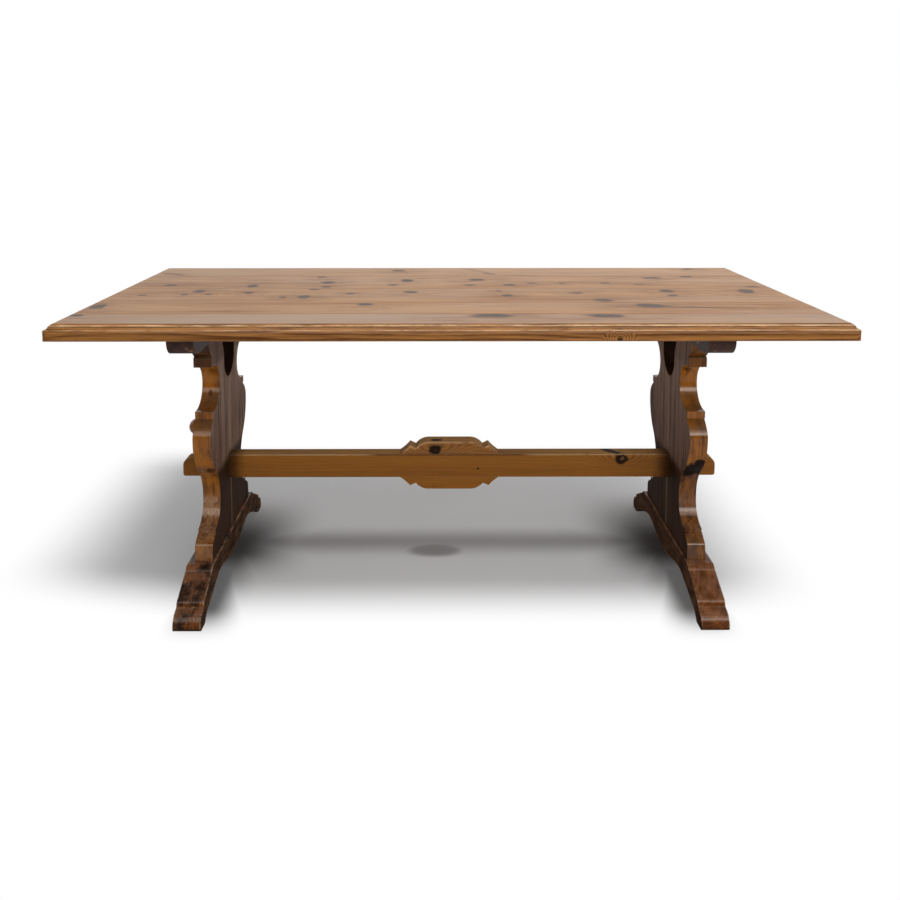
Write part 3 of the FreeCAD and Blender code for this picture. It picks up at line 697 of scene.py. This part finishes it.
def board_finish(name, look, seed, stain, burr, marks):
    """Amber waxed sawn edges, grey broad faces, palest under the bearer with painted light and darker
    below the stretcher with painted shade, and a dark mottled block under the bearer, partly painted
    shade.

    The stain says how dark the block and how scuffed the lower end is, the burr how black the marks.
    """
    recipe = Recipe(name, {"Coat Roughness": 0.16, "Specular IOR Level": 0.05})
    y, z = recipe.parts(recipe.place)[1:]
    broad = recipe.broadside()
    sawn = 1 - broad
    near = nearest_knot(recipe, marks)
    pull = near.smooth(3.0, 0.0) * 0.012
    late, fibre, streak = grain(recipe, BOARD_AXES, (0.03, 0.75), look.ring_width, 0.05, seed, pull)
    wavy = recipe.spots((70, 70, 55), 3.0) - 0.5
    mottle = recipe.spots((26, 34, 22), 4.0, 0.6, start=(seed, seed, 0))
    cloud = recipe.spots((58, 58, 9), 3.0, 0.55, start=(seed, 0, seed))
    stripe = recipe.spots((60, 120, 3.5), 3.0, 0.6, start=(seed, 0, 0))
    scratch = recipe.spots((150, 150, 60), 3.0, 0.7)

    edge_tone = late * 0.20 + streak.swing(1.2) + fibre.swing(0.6) + 0.06
    edge_tone = edge_tone + cloud.smooth(0.38, 0.74) * 0.65 + mottle.smooth(0.50, 0.72) * 0.24
    # The sawn edges turn darker below the waist, less so where the stain is strong
    edge_tone = edge_tone + z.smooth(*BOARD_NECK) * (0.55 - stain * 0.58)
    edge = recipe.mix(edge_tone, look.edge_light, look.edge_dark)
    face_tone = streak.swing(1.5) + stripe.swing(1.9) + fibre.swing(0.8) + cloud.swing(0.9)
    # The broad faces darken below the stretcher, partly painted shade, and turn palest towards the
    # bearer, partly painted light
    plain = recipe.mix(z.smooth(*BOARD_SHADE_LINE), look.face_lower, look.face_upper)
    plain = recipe.mix(z.smooth(*BOARD_PALE) * 0.7, plain, look.face_top)
    face = recipe.mix(face_tone + late * 0.15 + 0.12, plain, look.dark)
    wood = recipe.mix(broad, edge, face)

    # The block under the bearer is darkened with mottled stain and with painted shade under the bearer
    block = z.smooth(*BOARD_BLOCK) * (1 - broad * 0.55)
    stained = recipe.mix(mottle.smooth(0.40, 0.62), look.dark, look.bearer)
    wood = recipe.mix(block * (0.30 + stain * 0.60), wood, stained)
    low_end = z.smooth(*BOARD_SCUFFED) * (0.45 + z.smooth(*BOARD_ABOVE_FOOT) * 0.55)
    soil = recipe.mix((mottle * 0.5 + scratch * 0.5).smooth(0.40, 0.58), look.bearer, look.pale)
    wood = recipe.mix(low_end * sawn * (0.10 + stain * 0.60), wood, soil)
    # Edges that face upwards turn paler: partly dust, partly a painted sheen
    slope = recipe.upwards(0.12, 0.55) * sawn
    wood = recipe.mix(slope * mottle.smooth(0.25, 0.60) * (0.60 - low_end * 0.35), wood, look.dust_and_sheen)
    # The inside of the slot is painted dark: painted shade in the recess
    opening = abs(y).smooth(*OPENING_SIDE) * z.smooth(*OPENING_UPPER) * sawn
    wood = recipe.mix(opening * 0.95, wood, look.dark)
    specks = scratch.smooth(0.64, 0.72) * (low_end * stain + slope * 0.4) * sawn
    wood = recipe.mix(specks * 0.60, wood, look.pale)
    burnt = (near + wavy * 1.1).smooth(1.15, 0.75) * (1 - broad * 0.8) * burr
    wood = recipe.mix(burnt, wood, look.burr)

    near_arris, rounded = recipe.arris(look.arris_width)
    rubbed = near_arris * mottle.smooth(0.35, 0.60)
    recipe.give({
        "Base Color": recipe.mix(rubbed * 0.35, wood, look.pale),
        "Roughness": 0.42 + broad * 0.22 + fibre.swing(0.2),
        "Coat Weight": sawn * (1 - burnt) * (1 - opening) * (0.72 - block * 0.3),
        "Normal": recipe.bump(fibre * 0.6 + streak * 0.6 + mottle * 0.3, look.relief, rounded),
    })
    return name


def stave_finish(look):
    """Paler strip with straight grain."""
    recipe = Recipe("stave_finish", {"Roughness": 0.6, "Specular IOR Level": 0.15})
    z = recipe.parts(recipe.place)[2]
    fibre, streak = grain(recipe, BOARD_AXES, (0.2, 0.5), look.ring_width, 0.01, 5.0)[1:]
    tone = streak.swing(1.4) + fibre.swing(0.8) + 0.2
    # The strip darkens below the stretcher, partly its own tone and partly painted shade
    plain = recipe.mix(z.smooth(*BOARD_SHADE_LINE), look.stave_lower, look.stave)
    recipe.give({
        "Base Color": recipe.mix(tone, plain, look.dark),
        "Normal": recipe.bump(fibre, look.fine_relief, recipe.facing),
    })
    return "stave_finish"


def bearer_finish(look):
    """Red-brown bearer with dark mottling and pale rubbed patches."""
    fixed = {"Coat Roughness": 0.3, "Coat Weight": 0.25, "Specular IOR Level": 0.15}
    recipe = Recipe("bearer_finish", fixed)
    fibre, streak = grain(recipe, FOOT_AXES, (0.60, 0.75), look.ring_width, 0.04, 9.0)[1:]
    mottle = recipe.spots((30, 16, 40), 4.0, 0.6)
    tone = streak.swing(1.2) + fibre.swing(1.0) + mottle.smooth(0.65, 0.40) * 0.6
    wood = recipe.mix(tone, look.bearer, look.dark)
    wood = recipe.mix(mottle.smooth(0.62, 0.70) * 0.45, wood, look.pale)
    near_arris, rounded = recipe.arris(look.bearer_arris)
    recipe.give({
        "Base Color": recipe.mix(near_arris * 0.35, wood, look.pale),
        "Roughness": 0.50 + mottle.swing(0.3),
        "Normal": recipe.bump(fibre * 0.5 + mottle, look.bearer_relief, rounded),
    })
    return "bearer_finish"


class TABLE_OT_dress_trestles(bpy.types.Operator):
    """Finish the boards, strips and bearers of the trestles"""

    bl_idname = "table.dress_trestles"
    bl_label = "Dress Trestles"

    def execute(self, context):
        look = context.scene.table_trestle_look
        fronts = (
            ("left_board_front", 2.0, 0.9, 0.65, LEFT_BOARD_MARKS),
            ("right_board_front", 6.0, 0.25, 0.97, RIGHT_BOARD_MARKS),
        )
        for node, *values in fronts:
            dress(board_finish(f"{node}_finish", look, *values), node)
        backs = (f"{side}_board_back" for side in SIDES)
        dress(board_finish("back_board_finish", look, 11.0, 0.7, 0.6, BACK_BOARD_MARKS), *backs)
        staves = (f"{side}_{part}_stave" for side in SIDES for part in ("lower", "upper"))
        dress(stave_finish(look), *staves)
        dress(bearer_finish(look), *(f"{side}_bearer" for side in SIDES))
        return {"FINISHED"}


def foot_finish(name, look, seed, heart, stain):
    """Scuffed and chipped foot; the stain says how much of it is dark."""
    recipe = Recipe(name, {"Coat Roughness": 0.15, "Specular IOR Level": 0.03})
    z = recipe.parts(recipe.place)[2]
    broad = recipe.broadside()
    late, fibre, streak = grain(recipe, FOOT_AXES, heart, look.ring_width, 0.06, seed)
    mottle = recipe.spots((34, 22, 40), 5.0, 0.65, start=(0, 0, seed))
    scratch = recipe.spots((160, 26, 160), 3.0, 0.7)

    patches = mottle.smooth(0.66, 0.36) * stain
    tone = late * (0.34 - stain * 0.26) + streak.swing(1.0) + fibre.swing(0.9) + patches + 0.16
    wood = recipe.mix(tone, look.light, look.dark)
    side = recipe.mix(mottle.smooth(0.30, 0.72), look.dark, look.side)
    wood = recipe.mix(broad * 0.85, wood, side)
    # Shoulders that face upwards turn paler: partly dry bloom, partly a painted sheen
    shoulder = recipe.upwards(0.25, 0.60) * mottle.smooth(0.30, 0.60)
    wood = recipe.mix(shoulder * 0.22, wood, look.dust_and_sheen)
    specks = scratch.smooth(0.64, 0.72) * mottle.smooth(0.38, 0.58) * (1 - broad * 0.6)
    wood = recipe.mix(specks * 0.60 * stain, wood, look.cream)
    near_arris, rounded = recipe.arris(look.arris_width)
    chips = near_arris * scratch.smooth(0.43, 0.56) * (0.4 + stain * 0.6)
    wood = recipe.mix(chips * 0.66, wood, look.cream)
    recipe.give({
        "Base Color": recipe.mix(z.smooth(*FOOT_SOLE) * 0.6, wood, look.dark),
        "Roughness": 0.44 + broad * 0.2 + scratch.swing(0.4),
        "Coat Weight": (1 - broad) * (0.36 + near_arris * 0.64 - specks * 0.3),
        "Normal": recipe.bump(fibre * 0.4 + scratch * 0.5 + mottle, look.relief, rounded),
    })
    return name


class TABLE_OT_dress_feet(bpy.types.Operator):
    """Finish the sled feet"""

    bl_idname = "table.dress_feet"
    bl_label = "Dress Feet"

    def execute(self, context):
        look = context.scene.table_foot_look
        dress(foot_finish("left_foot_finish", look, 4.0, (-0.12, 0.70), 0.95), "left_foot")
        dress(foot_finish("right_foot_finish", look, 7.0, (0.12, 0.56), 0.35), "right_foot")
        return {"FINISHED"}


def stretcher_finish(name, look, knots, seed, heart, ornament):
    """Waxed amber wood with eyes of grain round its knots, less glossy upper faces that carry a painted
    reflection, and painted shade at the ends.

    The ornament is 1 for the upper ornament, redder and with a worn band, and 0 for the other pieces.
    """
    recipe = Recipe(name, {"Coat Roughness": 0.26, "Specular IOR Level": 0.08})
    x, _, z = recipe.parts(recipe.place)
    upward = recipe.upwards(0.25, 0.75)
    upright = 1 - upward
    plain = 1 - ornament
    wavy = recipe.spots((60, 60, 80), 3.0) - 0.5
    near = nearest_knot(recipe, knots)
    eyes = [(centre, (reach[0] * 2.2, reach[1], reach[2]), turn) for centre, reach, turn in knots]
    eye = nearest_knot(recipe, eyes).smooth(3.2, 0.0)
    pull = eye * 0.026
    wander = 0.03 + ornament * 0.06
    late, fibre, streak = grain(recipe, STRETCHER_AXES, heart, look.ring_width, wander, seed, pull)

    rings = late * (eye * (0.75 - ornament * 0.5) + 0.14 + ornament * 0.14)
    tone = rings + streak.swing(0.9) + fibre.swing(0.8) + 0.26
    light, dark = (look.crest_light, look.crest_dark) if ornament else (look.light, look.dark)
    wood = recipe.mix(tone, light, dark)
    glue_line = z.smooth(*GLUE_LINE) * abs(x).smooth(*GLUE_REACH) * (wavy + 0.75).smooth(0.45, 0.70)
    wood = recipe.mix(glue_line * plain * 0.8, wood, look.crest_dark)
    # Upper faces take a tone that is partly a painted reflection of the top above them
    dull_and_reflected = recipe.mix(streak.smooth(0.44, 0.80), look.upper, look.crest_dark)
    wood = recipe.mix(upward * 0.85, wood, dull_and_reflected)
    heartwood = (near + wavy * 0.9).smooth(1.25, 0.80)
    wood = recipe.mix(heartwood * 0.95, wood, look.knot)
    core = (near + wavy * 2.2).smooth(0.38, 0.14) * upright
    wood = recipe.mix(core * 0.45, wood, look.core)

    near_arris, rounded = recipe.arris(look.arris_width)
    if ornament:
        above_seat = z.smooth(*CREST_SEAT)
        near_arris = near_arris * above_seat
        leftwards = x.smooth(0.08, -0.02) * 0.45
        worn = (wavy * 1.6 + leftwards + 0.40).smooth(0.35, 0.60)
        bare = recipe.arris(look.bare_width)[0] * above_seat * worn
        wood = recipe.mix(bare * upright * (1 - heartwood) * 0.75, wood, look.bare)
    rubbed = near_arris * fibre.smooth(0.26, 0.50)
    wood = recipe.mix(rubbed * (0.20 + ornament * 0.60), wood, look.cream)
    rim = z.smooth(*STRETCHER_RIM) * abs(x).smooth(*RIM_REACH) * (wavy + 0.75).smooth(0.45, 0.75)
    wood = recipe.mix(rim * upright * plain * 0.55, wood, look.cream)
    # Painted shade darkens the ends of the stretcher where they meet the boards
    end_shade = (abs(x) + wavy * 0.02).smooth(*END_SHADE_START) * abs(x).smooth(*END_SHADE_STOP)
    recipe.give({
        "Base Color": recipe.mix(end_shade * 0.80, wood, look.knot),
        "Roughness": 0.42 + upward * 0.20 + fibre.swing(0.2),
        "Coat Weight": upright * (1 - heartwood) * 0.32,
        "Normal": recipe.bump(fibre * 0.7 + late * 0.4, look.relief, rounded),
    })
    return name


class TABLE_OT_dress_stretcher(bpy.types.Operator):
    """Finish the stretcher and the ornament on its middle"""

    bl_idname = "table.dress_stretcher"
    bl_label = "Dress Stretcher"

    def execute(self, context):
        look = context.scene.table_stretcher_look
        pieces = (
            ("stretcher", STRETCHER_KNOTS, 1.5, (0.240, 0.060), 0.0),
            ("upper_crest", UPPER_CREST_KNOTS, 8.0, (0.290, 0.020), 1.0),
            ("lower_crest", LOWER_CREST_KNOTS, 1.7, (0.240, 0.060), 0.0),
        )
        for node, *values in pieces:
            dress(stretcher_finish(f"{node}_finish", look, *values), node)
        return {"FINISHED"}


class TABLE_OT_dress_button(bpy.types.Operator):
    """Finish the turned button on the left trestle"""

    bl_idname = "table.dress_button"
    bl_label = "Dress Button"

    def execute(self, context):
        look = context.scene.table_trestle_look
        recipe = Recipe("button_finish", {"Coat Roughness": 0.18, "Coat Weight": 0.7})
        late, fibre, streak = grain(recipe, BOARD_AXES, (-0.2, -0.6), look.ring_width, 0.02, 3.0)
        y, z = recipe.parts(recipe.place)[1:]
        middle = (BUTTON_LOW + BUTTON_HIGH) / 2
        turned = ((y - middle.y) ** 2.0 + (z - middle.z) ** 2.0) ** 0.5
        lathe_lines = (turned / look.lathe_pitch).fraction().smooth(0.7, 1.0)
        tone = late * 0.4 + streak.swing(1.2) + fibre.swing(0.7) + lathe_lines * 0.15 + 0.2
        height = fibre * 0.5 + lathe_lines * 0.3
        recipe.give({
            "Base Color": recipe.mix(tone, look.edge_light, look.edge_dark),
            "Roughness": 0.40 + fibre.swing(0.2),
            "Normal": recipe.bump(height, look.fine_relief, recipe.facing),
        })
        dress("button_finish", "wooden_button")
        return {"FINISHED"}


class TABLE_OT_dress_fasteners(bpy.types.Operator):
    """Finish the dowels, loose tongues and screws"""

    bl_idname = "table.dress_fasteners"
    bl_label = "Dress Fasteners"

    def execute(self, context):
        look = context.scene.table_top_look
        beech = Recipe("beech_finish", {"Roughness": 0.6})
        fleck = beech.spots((220, 220, 60), 3.0, 0.7)
        beech.give({"Base Color": beech.mix(fleck.smooth(0.35, 0.70), look.face_light, look.edge_dark)})
        joints = [f"plank_tongue_{number}" for number in range(1, 5)] + ["crest_dowels"]
        joints += [f"{side}_{part}_dowels" for side in SIDES for part in ("bearer", "foot")]
        dress("beech_finish", *joints)

        steel = Recipe("screw_finish", {"Metallic": 1.0})
        tarnish = steel.spots((400, 400, 400), 3.0, 0.6)
        dulled = tarnish.smooth(0.40, 0.65)
        steel.give({
            "Base Color": steel.mix(dulled, look.screw_bright, look.screw_tarnished),
            "Roughness": 0.35 + tarnish * 0.3,
        })
        dress("screw_finish", *(f"{side}_top_screws" for side in SIDES))
        return {"FINISHED"}


def dome_ring(shape, radius, share):
    """A ring of points on a low dome that faces the front; the share is of the radius."""
    start = Vector((radius * share, radius * NAIL_RISE * (share ** 2 - 1), 0))
    turns = (Matrix.Rotation(math.tau * step / NAIL_STEPS, 3, "Y") for step in range(NAIL_STEPS))
    return [shape.verts.new(turn @ start) for turn in turns]


class TABLE_OT_drive_nail(bpy.types.Operator):
    """Set the old nail head in the front face of the stretcher"""

    bl_idname = "table.drive_nail"
    bl_label = "Drive Nail"

    def execute(self, context):
        look = context.scene.table_stretcher_look
        mesh = bpy.data.meshes.new("stretcher_nail")
        shape = bmesh.new()
        rings = [dome_ring(shape, look.nail_radius, share) for share in NAIL_RINGS]
        for outer, inner in zip(rings, rings[1:]):
            for step in range(NAIL_STEPS):
                following = (step + 1) % NAIL_STEPS
                shape.faces.new((outer[step], outer[following], inner[following], inner[step]))
        shape.faces.new(rings[-1])
        bmesh.ops.recalc_face_normals(shape, faces=shape.faces)
        shape.to_mesh(mesh)
        shape.free()
        mesh.shade_smooth()
        nail = bpy.data.objects.new("stretcher_nail", mesh)
        nail.location = NAIL_PLACE
        context.scene.collection.objects.link(nail)
        iron = Recipe("nail_finish", {"Metallic": 0.2, "Specular IOR Level": 0.1})
        rust = iron.spots((900, 900, 900), 3.0, 0.6)
        iron.give({
            "Base Color": iron.mix(rust.smooth(0.40, 0.65), look.nail_dark, look.nail_rust),
            "Roughness": 0.60 + rust * 0.3,
        })
        mesh.materials.append(iron.material)
        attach(nail, "root")
        return {"FINISHED"}


def add_lamp(name, watts, place, target, across, tall):
    """A rectangular area light that looks at the target."""
    data = bpy.data.lights.new(name, "AREA")
    data.shape = "RECTANGLE"
    data.size = across
    data.size_y = tall
    data.energy = watts
    lamp = bpy.data.objects.new(name, data)
    lamp.location = place
    lamp.rotation_euler = (Vector(target) - Vector(place)).to_track_quat("-Z", "Y").to_euler()
    bpy.context.scene.collection.objects.link(lamp)
    return lamp


def floor_shade(recipe, look):
    """How much of its shade the floor shows, and how deep its painted shadow is, each from 0 to 1."""
    x, y = recipe.parts(recipe.place)[:2]
    near_foot = abs(x).smooth(*PAST_FOOT) * y.smooth(*FEET_BACK)
    beside = abs(x).smooth(*FOOT_SHADE) * y.smooth(*FOOT_SHADE_FRONT) * near_foot
    contact = abs(x).smooth(*CONTACT_SHADE) * y.smooth(*CONTACT_FRONT) * near_foot
    stretcher = abs(y - STRETCHER_SHADE_LINE).smooth(STRETCHER_SHADE_REACH, 0.0)
    stretcher = stretcher * abs(x).smooth(*STRETCHER_SHADE_END)
    along, back = (
        (coordinate - centre) / reach
        for coordinate, centre, reach in zip((x, y), CREST_SHADE_PLACE, CREST_SHADE_REACH)
    )
    crest = (along ** 2.0 + back ** 2.0).smooth(1.0, 0.0)
    under = (stretcher * 0.30).most(crest * 0.42)

    outwards = (abs(x) - FOOT_SIDE).most(0.0)
    shown = (y - outwards * SHADE_SLANT).smooth(*SHADE_FRONT)
    shown = shown * y.smooth(look.shade_behind, SHADE_FULL_BEHIND)
    shown = shown * abs(x + SHADE_LEFTWARDS).smooth(look.shade_across, SHADE_FULL_ACROSS)
    shown = shown * (0.83 + (beside * 0.17).most(under * 0.50))
    return shown.most(contact * 0.92), beside.most(contact).most(under)


def add_floor(look):
    """White floor that shows the shade of the table, with painted shadow beside and under the feet, and
    fades to plain white around it.
    """
    reach = look.floor_reach
    mesh = bpy.data.meshes.new("studio_floor")
    corners = ((-reach, -reach, 0), (reach, -reach, 0), (reach, reach, 0), (-reach, reach, 0))
    mesh.from_pydata(corners, [], [(0, 1, 2, 3)])
    floor = bpy.data.objects.new("studio_floor", mesh)
    bpy.context.scene.collection.objects.link(floor)
    recipe = Recipe("floor_finish")
    shade, depth = floor_shade(recipe, look)
    lit, shown, deep = (
        recipe.node("ShaderNodeBsdfDiffuse", None, {"Color": tint})
        for tint in (FLOOR_LIT, FLOOR_SHOWN, FLOOR_PAINTED_SHADOW)
    )
    white = recipe.node("ShaderNodeEmission", None, {"Color": WHITE, "Strength": 1.0})
    seen = recipe.node("ShaderNodeLightPath", output="Is Camera Ray")
    # The darker diffuse mixed in here is painted shadow, not cast by the lamps
    dimmed = recipe.node("ShaderNodeMixShader", None, {0: depth, 1: shown, 2: deep})
    faded = recipe.node("ShaderNodeMixShader", None, {0: shade, 1: white, 2: dimmed})
    whole = recipe.node("ShaderNodeMixShader", None, {0: seen, 1: lit, 2: faded})
    output = next(node for node in recipe.tree.nodes if node.type == "OUTPUT_MATERIAL")
    recipe.feed(output.inputs["Surface"], whole)
    mesh.materials.append(recipe.material)


def add_room(look):
    """Even light all round; the camera sees it as white, and gloss does where it looks to the back."""
    world = bpy.data.worlds.new("studio_room")
    world.use_nodes = True
    bpy.context.scene.world = world
    recipe = Tree(world.node_tree)
    lit = recipe.tree.nodes["Background"]
    recipe.feed(lit.inputs["Color"], WHITE)
    recipe.feed(lit.inputs["Strength"], look.room_light)
    shown = recipe.node("ShaderNodeBackground", None, {"Color": WHITE, "Strength": 1.0})
    camera, gloss, glass = (
        recipe.node("ShaderNodeLightPath", output=f"Is {kind} Ray")
        for kind in ("Camera", "Glossy", "Transmission")
    )
    towards = recipe.parts(recipe.node("ShaderNodeTexCoord", output="Generated"))[1]
    seen = camera.most(glass).most(gloss * towards.smooth(*ROOM_BACK))
    surfaces = {0: seen, 1: Socket(recipe, lit.outputs[0]), 2: shown}
    whole = recipe.node("ShaderNodeMixShader", None, surfaces)
    recipe.feed(recipe.tree.nodes["World Output"].inputs["Surface"], whole)


def add_camera(look):
    """The camera of the photograph, tilted a little more, with its lens shifted."""
    data = bpy.data.cameras.new("studio_camera")
    data.sensor_width = SENSOR_WIDTH
    data.lens = look.camera_lens
    data.shift_x = look.shift_across
    data.shift_y = look.shift_up
    camera = bpy.data.objects.new("studio_camera", data)
    camera.location = look.camera_place
    camera.rotation_euler = (math.pi / 2 - look.camera_pitch, 0, -look.camera_yaw)
    bpy.context.scene.collection.objects.link(camera)
    return camera


class TABLE_OT_set_stage(bpy.types.Operator):
    """Set the floor, the lamps and the camera"""

    bl_idname = "table.set_stage"
    bl_label = "Set Stage"

    def execute(self, context):
        look = context.scene.table_stage_look
        add_floor(look)
        add_room(look)
        for name, watts, *setting in LAMPS:
            lamp = add_lamp(name, getattr(look, watts), *setting)
            lamp.visible_glossy = name not in LAMPS_WITHOUT_GLOSS
            if name == "gloss_lamp":
                lamp.visible_diffuse = False
                lamp.data.color = look.gloss_tint
        context.scene.camera = add_camera(look)
        context.scene.view_settings.view_transform = "Standard"
        return {"FINISHED"}


class TABLE_PT_finishes(bpy.types.Panel):
    """Lists the steps that dress the table"""

    bl_label = "Farmhouse Table"
    bl_space_type = "VIEW_3D"
    bl_region_type = "UI"
    bl_category = "Table"

    def draw(self, context):
        for operator in OPERATORS:
            self.layout.operator(operator.bl_idname)


LOOKS = {
    "table_top_look": TopLook,
    "table_trestle_look": TrestleLook,
    "table_foot_look": FootLook,
    "table_stretcher_look": StretcherLook,
    "table_stage_look": StageLook,
}
OPERATORS = (
    TABLE_OT_dress_top,
    TABLE_OT_dress_trestles,
    TABLE_OT_dress_feet,
    TABLE_OT_dress_stretcher,
    TABLE_OT_dress_button,
    TABLE_OT_dress_fasteners,
    TABLE_OT_drive_nail,
    TABLE_OT_set_stage,
)
CLASSES = (*LOOKS.values(), *OPERATORS, TABLE_PT_finishes)


def register():
    for cls in CLASSES:
        bpy.utils.register_class(cls)
    for name, look in LOOKS.items():
        setattr(bpy.types.Scene, name, PointerProperty(type=look))


def unregister():
    for name in LOOKS:
        delattr(bpy.types.Scene, name)
    for cls in reversed(CLASSES):
        bpy.utils.unregister_class(cls)


def main():
    register()
    for operator in OPERATORS:
        group, name = operator.bl_idname.split(".")
        getattr(getattr(bpy.ops, group), name)()


if __name__ == "__main__":
    main()
